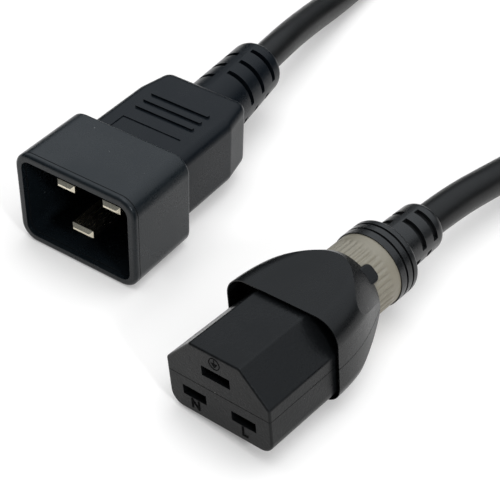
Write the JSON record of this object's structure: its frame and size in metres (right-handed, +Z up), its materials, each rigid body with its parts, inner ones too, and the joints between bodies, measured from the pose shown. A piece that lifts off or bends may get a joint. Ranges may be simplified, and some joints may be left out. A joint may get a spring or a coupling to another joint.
{
  "type": "appliance power cord set",
  "caption": "Three-core mains cord with a shrouded blade plug at one end and a locking connector with a spring-loaded release shell at the other, the spare cord in a tied coil.",
  "frame": {"origin": "middle of the two connectors' footprint, on the surface they lie on", "axes": "+Z up; the plug faces -Y and its line blade is on +X; the connector lies on the +X side, facing nearly -Y"},
  "size_m": [0.1012, 0.3063, 0.0249],
  "materials": {
    "plug_plastic": "fine moulded grain, charcoal",
    "soft_black": "satin moulded compound",
    "nose_plastic": "fine moulded grain",
    "shell_plastic": "fine moulded grain",
    "collar_plastic": "warm grey, knurled",
    "blade_metal": "nickel plated",
    "contact_metal": "plated",
    "spring_steel": "bright",
    "line_insulation": "smooth",
    "neutral_insulation": "smooth",
    "earth_insulation": "smooth",
    "cord_jacket": "satin",
    "tie_plastic": "satin"
  },
  "bodies": {
    "cord_set": {"plug_shroud": "plug_plastic", "plug_body": "soft_black", "nose_base": "nose_plastic", "nose_cover": "nose_plastic", "return_spring": "spring_steel", "grip_collar": "collar_plastic", "strain_relief": "soft_black", "earth_clamp": "spring_steel", "cord_lead": "cord_jacket", "cord_coil": "cord_jacket", "cord_tail": "cord_jacket", "coil_tie": "tie_plastic", "plug_line_blade": "blade_metal", "plug_line_wire": "line_insulation", "line_contact": "contact_metal", "connector_line_wire": "line_insulation", "plug_neutral_blade": "blade_metal", "plug_neutral_wire": "neutral_insulation", "neutral_contact": "contact_metal", "connector_neutral_wire": "neutral_insulation", "plug_earth_blade": "blade_metal", "plug_earth_wire": "earth_insulation", "earth_contact": "contact_metal", "connector_earth_wire": "earth_insulation"},
    "release_shell": {"release_shell_top": "shell_plastic", "release_shell_bottom": "shell_plastic"}
  },
  "joints": [
    {"name": "release_slide", "type": "slide", "parent": "cord_set", "child": "release_shell", "axis": [0.1184, 0.993, 0], "range_m": [0, 0.0035], "stiffness_N_per_m": 800, "springref_m": -0.003, "deforming": ["return_spring"]}
  ]
}
